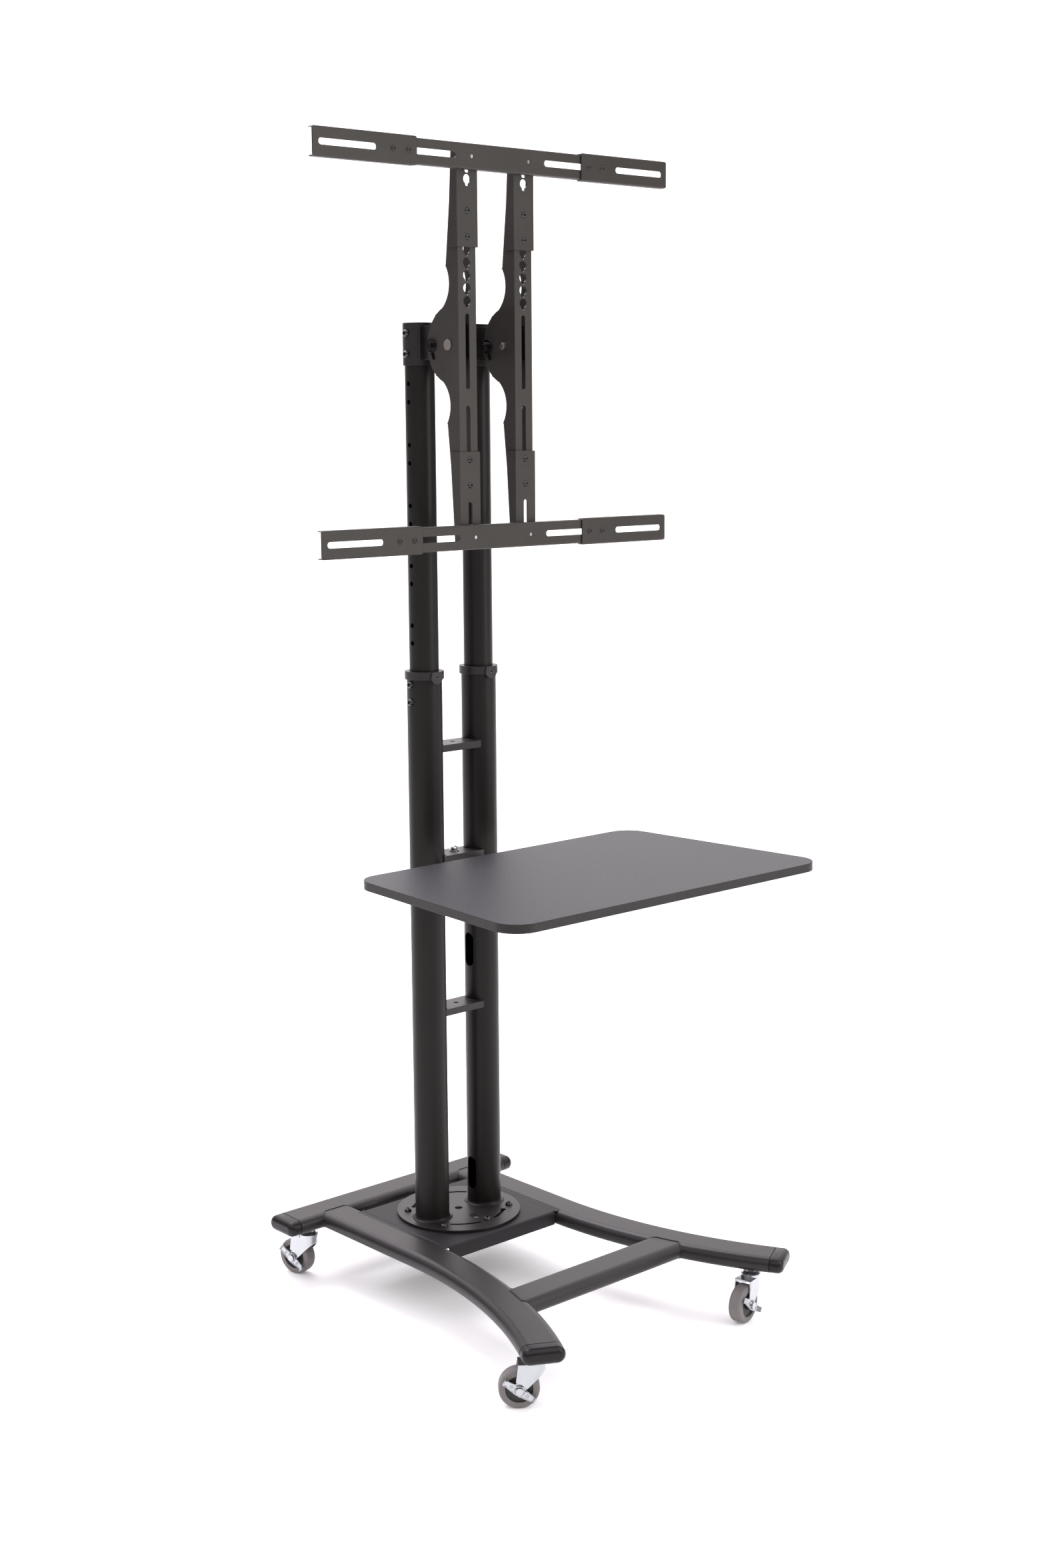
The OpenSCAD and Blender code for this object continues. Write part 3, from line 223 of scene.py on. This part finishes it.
def plated(name, color, rough=0.2):
    g = Graph(name)
    g.soften(0.0005)
    g.set(Metallic=1.0)
    g.color(g.mix(g.noise(60, 4), shade(color, 0.86), color))
    g.roughness(g.noise(220, 5, 0.6), rough - 0.03, rough + 0.06, 0.25, 0.75)
    g.bump(g.noise(260, 3), 0.0001, 0.08)
    return g.mat


def black_steel(name):
    g = Graph(name)
    g.soften(0.0004)
    g.set(Metallic=0.9)
    g.color(g.mix(g.noise(120, 3), (0.03, 0.03, 0.032), (0.075, 0.075, 0.08)))
    g.roughness(g.noise(400, 4), 0.12, 0.26)
    g.bump(g.noise(600, 3), 0.0001, 0.3)
    return g.mat


def tyre(name):
    g = Graph(name)
    g.color(g.mix(g.noise(40, 5, 0.6), (0.13, 0.12, 0.115), (0.2, 0.185, 0.175)))
    g.roughness(g.noise(200, 4), 0.55, 0.75)
    g.bump(g.noise(500, 4), 0.0003, 0.35)
    return g.mat


def laminate(name):
    """The shelf board, with a bluer, finely speckled top and a browner edge band. The top's bluer
    tint is painted cool light from overhead.
    """
    g = Graph(name)
    g.soften(0.0015)
    geo = g.node("ShaderNodeNewGeometry")
    split = g.node("ShaderNodeSeparateXYZ")
    g.link(geo.outputs["Normal"], split.inputs["Vector"])
    # Faces that look up get the bluer top colour: a painted tint of the cool overhead light.
    painted_cool_light_mask = g.ramp(split.outputs["Z"], 0.55, 0.8, 0, 1)
    band = g.mix(g.noise(60, 3), (0.012, 0.0105, 0.0095), (0.019, 0.0165, 0.015))
    top = g.mix(g.noise(420, 4, 0.7), (0.0125, 0.0123, 0.0155), (0.019, 0.0185, 0.0235))
    g.color(g.mix(painted_cool_light_mask, band, top))
    g.set(Specular_IOR_Level=0.28)
    g.roughness(g.noise(500, 3), 0.42, 0.56)
    g.bump(g.noise(1100, 2), 0.00015, 0.6)
    return g.mat


def pale_floor(name):
    g = Graph(name)
    g.color(g.mix(g.noise(1.2, 2), (0.9, 0.895, 0.89), (0.93, 0.925, 0.92)))
    g.roughness(g.noise(6, 2), 0.6, 0.7)
    g.set(Emission_Color=(1, 1, 1, 1), Emission_Strength=0.16)
    return g.mat


MATS = {
    "powder_coat": powder_coat(
        "powder_coat_look", (0.0115, 0.0098, 0.0098), 0.4, (1, 0.97, 0.98)),
    "frame_coat": powder_coat(
        "frame_coat_look", (0.0235, 0.0204, 0.0178), 0.46, (1, 0.955, 0.9)),
    "tube_coat": powder_coat(
        "tube_coat_look", (0.008, 0.0068, 0.0062), 0.4, (1, 0.965, 0.94), 0.19),
    # The seam coat is darker than the powder coat: painted shade in the groove between a leg and
    # the plate.
    "seam_painted_shade": shaded_coat("seam_painted_shade_look", (0.009, 0.008, 0.008)),
    "plate_coat": shaded_coat("plate_coat_look", (0.0108, 0.0094, 0.0102)),
    "cap_plastic": black_plastic("cap_look", (0.0055, 0.005, 0.0048), 0.34, 0.26),
    "bush_plastic": black_plastic("bush_look", (0.02, 0.02, 0.02), 0.45),
    "hub_plastic": black_plastic("hub_look", (0.018, 0.016, 0.014), 0.5),
    "black_steel": black_steel("black_steel_look"),
    "pivot_grey": plated("pivot_grey_look", (0.34, 0.325, 0.3), 0.4),
    "zinc": plated("zinc_look", (0.47, 0.49, 0.5)),
    "grey_tyre": tyre("tyre_look"),
    "laminate": laminate("laminate_look"),
}

# Nodes that don't wear the look of their material slot
LOOKS = {
    "centre_plate": "plate_coat", "pivot_bolts": "pivot_grey",
    "left_lower_tube": "tube_coat", "right_lower_tube": "tube_coat",
    "left_upper_tube": "tube_coat", "right_upper_tube": "tube_coat",
}


def dress_nodes():
    slots = {s["node"]: s["material_slot"] for s in frame["record"]["subparts"]}
    for name, obj in NODES.items():
        obj.data.materials.clear()
        obj.data.materials.append(MATS[LOOKS.get(name, slots[name])])


# Mesh pieces

BEAD_SIDES = 8
BEAD_TAPER = 0.35
# Radians that the wave along a weld and along a seam turns from point to point
BEAD_TURN, SEAM_TURN = 2.1, 1.9
# A direction whose cross product with the vertical is shorter than this counts as upright
UPRIGHT = 0.2


def bridge(bm, rings, closed=False):
    """Skins the gaps between neighbouring rings, and covers both ends of an open run."""
    pairs = list(zip(rings, rings[1:]))
    if closed:
        pairs.append((rings[-1], rings[0]))
    for one, two in pairs:
        count = len(one)
        for k in range(count):
            j = (k + 1) % count
            bm.faces.new((one[k], one[j], two[j], two[k]))
    if not closed:
        bm.faces.new(rings[0][::-1])
        bm.faces.new(rings[-1])


def mesh_object(bm, name, look, smooth):
    """Turns a bmesh into an object. smooth says for a face whether it is shaded smooth."""
    bmesh.ops.recalc_face_normals(bm, faces=bm.faces)
    me = bpy.data.meshes.new(name)
    bm.to_mesh(me)
    bm.free()
    for face in me.polygons:
        face.use_smooth = smooth(face)
    obj = bpy.data.objects.new(name, me)
    me.materials.append(MATS[look])
    bpy.context.scene.collection.objects.link(obj)
    return obj


def sweep(name, points, radius, body, slot, closed=False, ripple=0.125, look=None):
    """A thin rounded bead along points, with the small waves of a weld."""
    bm = bmesh.new()
    rings = []
    count = len(points)
    for i, p in enumerate(points):
        before = points[(i - 1) % count] if closed or i else p
        after = points[(i + 1) % count] if closed or i < count - 1 else p
        along = (after - before).normalized()
        side = along.cross(Vector((0, 0, 1)))
        if side.length < UPRIGHT:
            side = along.cross(Vector((1, 0, 0)))
        side.normalize()
        up = along.cross(side).normalized()
        r = radius * (1 + ripple * math.sin(i * BEAD_TURN))
        if not closed and i in (0, count - 1):
            r *= BEAD_TAPER
        turns = [2 * math.pi * k / BEAD_SIDES for k in range(BEAD_SIDES)]
        rings.append([bm.verts.new(p + side * (r * math.cos(a)) + up * (r * math.sin(a)))
                      for a in turns])
    bridge(bm, rings, closed)
    obj = mesh_object(bm, name, look or slot, lambda face: True)
    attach(obj, body)


# Weld beads and seams of the base and mast

OVAL_STEP = 0.0025
BAR_BEAD, CROSS_BEAD, PLATE_BEAD, STRUT_BEAD = 0.0011, 0.0014, 0.0016, 0.001
PLATE_WELDS = ((-0.1205, "front"), (0.1155, "rear"))
PLATE_BEAD_TOP, PLATE_BEAD_STEP, PLATE_BEAD_COUNT = 0.0085, 0.0015, 12
STRUT_WELDS = ((0.505, "lower"), (0.775, "middle"), (0.970, "upper"))
# Degrees each side of the strut's middle line that its bead goes round the tube
STRUT_WELD_A, STRUT_WELD_COUNT = 54, 24
# The fillet between a leg and the plate: distance from the middle, and height over the plate
SEAM_PROFILE = ((0.1372, 0.0001), (0.1352, 0.00005), (0.1325, -0.0004), (0.1298, -0.0007),
                (0.1272, -0.0003), (0.1250, 0.0002), (0.1236, 0.0001),
                (0.1236, -0.001), (0.1372, -0.001))
SEAM_COUNT, SEAM_WAVE, SEAM_END_GAP, SEAM_DEPTH = 80, 0.00012, 0.0005, 0.001


def oval_points():
    """Points round the flat oval tube section, as (across, up) from its middle."""
    flats = int(2 * FLAT / OVAL_STEP)
    rounds = int(math.pi * HALF_H / OVAL_STEP)
    points = []
    for end in (1, -1):
        points += [(end * (-FLAT + 2 * FLAT * i / flats), end * HALF_H) for i in range(flats)]
        for i in range(rounds):
            a = math.pi * i / rounds
            points.append((end * (FLAT + HALF_H * math.sin(a)), end * HALF_H * math.cos(a)))
    return points


def oval_reach(up):
    """Half width of the oval section at a height from its middle."""
    return FLAT + math.sqrt(max(HALF_H * HALF_H - up * up, 0))


def build_seam(name, side, front, rear, top):
    """The shallow fillet that fills the groove between a leg and the centre plate. Its darker coat
    is painted shade of the groove.
    """
    bm = bmesh.new()
    rows = []
    for i in range(SEAM_COUNT + 1):
        y = front + (rear - front) * i / SEAM_COUNT
        wave = SEAM_WAVE * math.sin(i * SEAM_TURN)
        rows.append([bm.verts.new((side * x, y, top + z + (wave if -SEAM_DEPTH < z < 0 else 0)))
                     for x, z in SEAM_PROFILE])
    bridge(bm, rows)
    obj = mesh_object(bm, name, "seam_painted_shade", lambda face: False)
    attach(obj, "base")


def build_base_welds(side, word):
    bar = [Vector((side * (LEG_X + u), MAST_Y + BAR_Y - oval_reach(v), TUBE_Z + v))
           for u, v in oval_points()]
    sweep(f"weld_{word}_leg_to_crossbar", bar, BAR_BEAD, "base", "powder_coat", closed=True)
    cross = []
    for u, v in oval_points():
        y = CROSS_Y + u
        x = LEG_X + BEND_R - math.sqrt((BEND_R + oval_reach(v)) ** 2 - (y - BEND_Y) ** 2)
        cross.append(Vector((side * x, MAST_Y + y, TUBE_Z + v)))
    sweep(f"weld_{word}_leg_to_cross_tube", cross, CROSS_BEAD, "base", "powder_coat", closed=True)
    for y, end in PLATE_WELDS:
        heights = [PLATE_BEAD_TOP - PLATE_BEAD_STEP * i for i in range(PLATE_BEAD_COUNT)]
        edge = [Vector((side * (LEG_X - oval_reach(v)), MAST_Y + y, TUBE_Z + v)) for v in heights]
        # The beads at the plate's ends wear the darker seam coat: painted shade where the plate
        # meets the leg.
        sweep(f"weld_{word}_plate_{end}", edge, PLATE_BEAD, "base", "powder_coat",
              look="seam_painted_shade")
    low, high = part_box("centre_plate")
    build_seam(f"weld_{word}_plate_side", side,
               low[1] + SEAM_END_GAP, high[1] - SEAM_END_GAP, high[2])


def build_welds():
    for side, word in SIDES:
        build_base_welds(side, word)
    for z, word in STRUT_WELDS:
        for side, hand in SIDES:
            arc = []
            for i in range(STRUT_WELD_COUNT + 1):
                a = math.radians(2 * STRUT_WELD_A * i / STRUT_WELD_COUNT - STRUT_WELD_A)
                arc.append(Vector((side * (MAST_X - MAST_TUBE_R * math.cos(a)),
                                   MAST_Y + MAST_TUBE_R * math.sin(a), z)))
            sweep(f"weld_{word}_strut_{hand}", arc, STRUT_BEAD, "base", "powder_coat")


# End caps, with the pillow shape of moulded plastic

CAP_L, CAP_ROUND, CAP_RIB = 0.024, 0.0105, 0.0012
CAP_GROOVE, CAP_INSET = 0.0009, 0.0002
CAP_STEPS, CAP_TURNS = 8, 48


def cap_rings():
    """Inset and reach of each ring from the seam to the end face."""
    rings = [(CAP_GROOVE, 0.0), (CAP_GROOVE, CAP_RIB * 0.5),
             (CAP_INSET, CAP_RIB * 0.9), (CAP_INSET, CAP_RIB * 2)]
    for i in range(CAP_STEPS + 1):
        a = math.radians(90 * i / CAP_STEPS)
        rings.append((CAP_INSET + CAP_ROUND * (1 - math.cos(a)),
                      CAP_L - CAP_ROUND + CAP_ROUND * math.sin(a)))
    return rings


def cap_ends():
    """Where each capped tube ends, and the direction that it points in."""
    lean = math.radians(BEND_A)
    leg_x = LEG_X + BEND_R * (1 - math.cos(lean))
    leg_y = BEND_Y - BEND_R * math.sin(lean)
    ends = [((side * BAR_END_X, BAR_Y), (side, 0)) for side, _ in SIDES]
    ends += [((side * leg_x, leg_y), (side * math.sin(lean), -math.cos(lean)))
             for side, _ in SIDES]
    return ends


def build_caps():
    bm = bmesh.new()
    for (x, y), (dx, dy) in cap_ends():
        start = Vector((x, MAST_Y + y, TUBE_Z))
        out, across = Vector((dx, dy, 0)), Vector((-dy, dx, 0))
        rings = []
        for inset, reach in cap_rings():
            ring = []
            for k in range(CAP_TURNS):
                a = 2 * math.pi * (k + 0.5) / CAP_TURNS
                u = math.copysign(FLAT, math.cos(a)) + (HALF_H - inset) * math.cos(a)
                rise = Vector((0, 0, (HALF_H - inset) * math.sin(a)))
                ring.append(bm.verts.new(start + out * reach + across * u + rise))
            rings.append(ring)
        bridge(bm, rings)
    obj = mesh_object(bm, "end_caps_moulded", "cap_plastic", lambda face: len(face.vertices) == 4)
    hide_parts("end_caps")
    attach(obj, "base")


# Pressed ribs, bosses and dimples on the brake levers

FORK_OUTER, BRAKE_GAP, BRAKE_T, BRAKE_REST = 0.0155, 0.0003, 0.0025, -34
TRAIL, WHEEL_R = 0.026, 0.0325
# Each stem's place and its caster's heading in degrees
CASTERS = {
    "rear_left": (-0.2000, 0.1820, 106), "rear_right": (0.2000, 0.1820, 62),
    "front_left": (-0.2484, -0.4782, 141), "front_right": (0.2484, -0.4782, 193),
}
# Points of each rib: distance from the pivot along the lever, and across its face
RIBS = {
    "low": ((0.028, -0.0034), (0.022, -0.0047), (0.016, -0.0057), (0.010, -0.0067),
            (0.0062, -0.0073)),
    "high": ((0.028, 0.0036), (0.022, 0.0041), (0.016, 0.0048), (0.0115, 0.0057),
             (0.0075, 0.0066)),
}
BOSS_HALF, BOSS_COUNT, BOSS_BEAD = (0.0079, 0.0074), 32, 0.0011
DIMPLE_AT, DIMPLE_HALF, DIMPLE_COUNT, DIMPLE_BEAD = (0.0145, -0.0004), 0.0021, 20, 0.0008
RIB_BEAD = 0.001


def lever_matrix(x, y, turn):
    """The frame of a lever, as part.scad turns it: x along it, and y out of its face."""
    return (Matrix.Translation((x, MAST_Y + y, 0)) @ Matrix.Rotation(math.radians(turn), 4, "Z")
            @ Matrix.Translation((TRAIL, FORK_OUTER + BRAKE_GAP, WHEEL_R))
            @ Matrix.Rotation(math.radians(BRAKE_REST), 4, "Y"))


def lever_ring(m, x, z, half_x, half_z, count):
    """Points of an ellipse on the face of a lever."""
    turns = [2 * math.pi * i / count for i in range(count)]
    return [m @ Vector((x + half_x * math.cos(a), BRAKE_T, z + half_z * math.sin(a)))
            for a in turns]


def build_levers():
    for word, place in CASTERS.items():
        m = lever_matrix(*place)
        body = f"{word}_lever"
        boss = lever_ring(m, 0, 0, *BOSS_HALF, BOSS_COUNT)
        sweep(f"{word}_lever_boss", boss, BOSS_BEAD, body, "zinc", closed=True, ripple=0)
        for end, sign in (("toe", 1), ("heel", -1)):
            for edge, points in RIBS.items():
                rib = [m @ Vector((sign * x, BRAKE_T, z)) for x, z in points]
                sweep(f"{word}_lever_{end}_{edge}_rib", rib, RIB_BEAD, body, "zinc", ripple=0)
            dimple = lever_ring(m, sign * DIMPLE_AT[0], DIMPLE_AT[1],
                                DIMPLE_HALF, DIMPLE_HALF, DIMPLE_COUNT)
            sweep(f"{word}_lever_{end}_dimple", dimple, DIMPLE_BEAD, body, "zinc",
                  closed=True, ripple=0)


# Stage and light

FLOOR_HALF = 14
# Strength of the studio where no lobe reaches, and of the white that the camera sees
STUDIO_LOW, STUDIO_SEEN = 0.13, 1.9
WARM, COOL = (1, 0.955, 0.91, 1), (0.94, 0.9, 1.0, 1)
# Direction of each bright lobe, the dot with it where it starts and is full, and its strength
OVERHEAD = ((0, 0, 1), 0.25, 0.8, 2.3)
BEHIND = ((0.667, 0.745, -0.05), 0.6, 0.9, 1.9)


def build_stage():
    me = bpy.data.meshes.new("floor")
    s = FLOOR_HALF
    me.from_pydata([(-s, -s, 0), (s, -s, 0), (s, s, 0), (-s, s, 0)], [], [(0, 1, 2, 3)])
    floor = bpy.data.objects.new("floor", me)
    me.materials.append(pale_floor("floor_look"))
    bpy.context.scene.collection.objects.link(floor)


def build_world():
    """A studio that looks white, and lights the stand most from overhead and behind."""
    world = bpy.data.worlds.new("studio")
    bpy.context.scene.world = world
    world.use_nodes = True
    tree = world.node_tree
    link = tree.links.new
    background = tree.nodes["Background"]
    coord = tree.nodes.new("ShaderNodeTexCoord")

    def lobe(direction, low, high, top):
        dot = tree.nodes.new("ShaderNodeVectorMath")
        dot.operation = "DOT_PRODUCT"
        dot.inputs[1].default_value = Vector(direction).normalized()
        link(coord.outputs["Generated"], dot.inputs[0])
        ramp = tree.nodes.new("ShaderNodeMapRange")
        ramp.interpolation_type = "SMOOTHSTEP"
        ramp.inputs["From Min"].default_value = low
        ramp.inputs["From Max"].default_value = high
        ramp.inputs["To Min"].default_value = STUDIO_LOW
        ramp.inputs["To Max"].default_value = top
        link(dot.outputs["Value"], ramp.inputs["Value"])
        return ramp.outputs["Result"]

    # Warm at the level of the stand, and cooler overhead
    split = tree.nodes.new("ShaderNodeSeparateXYZ")
    link(coord.outputs["Generated"], split.inputs["Vector"])
    hue = tree.nodes.new("ShaderNodeMix")
    hue.data_type = "RGBA"
    hue.inputs["A"].default_value = WARM
    hue.inputs["B"].default_value = COOL
    link(split.outputs["Z"], hue.inputs["Factor"])
    link(hue.outputs["Result"], background.inputs["Color"])

    lobes = tree.nodes.new("ShaderNodeMath")
    lobes.operation = "MAXIMUM"
    link(lobe(*OVERHEAD), lobes.inputs[0])
    link(lobe(*BEHIND), lobes.inputs[1])
    path = tree.nodes.new("ShaderNodeLightPath")
    seen = tree.nodes.new("ShaderNodeMix")
    link(path.outputs["Is Camera Ray"], seen.inputs["Factor"])
    link(lobes.outputs["Value"], seen.inputs["A"])
    seen.inputs["B"].default_value = STUDIO_SEEN
    link(seen.outputs["Result"], background.inputs["Strength"])


def area_light(name, at, target, size, power, color=(1, 1, 1)):
    data = bpy.data.lights.new(name, "AREA")
    data.shape = "RECTANGLE"
    data.size, data.size_y = size
    data.energy = power
    data.color = color
    obj = bpy.data.objects.new(name, data)
    turn = (Vector(target) - Vector(at)).to_track_quat("-Z", "Y").to_matrix().to_4x4()
    obj.matrix_world = Matrix.Translation(at) @ turn
    bpy.context.scene.collection.objects.link(obj)


set_camera()
build_stage()
build_world()
bpy.context.scene.view_settings.view_transform = "Standard"
area_light("key", (1.75, -3.3, 1.9), (0, 0, 1.0), (0.9, 2.6), 52)
area_light("top", (0.5, 2.2, 4.4), (0, 0, 0.4), (2.6, 2.6), 165, (0.95, 0.92, 1.0))
dress_nodes()
build_welds()
build_caps()
build_levers()
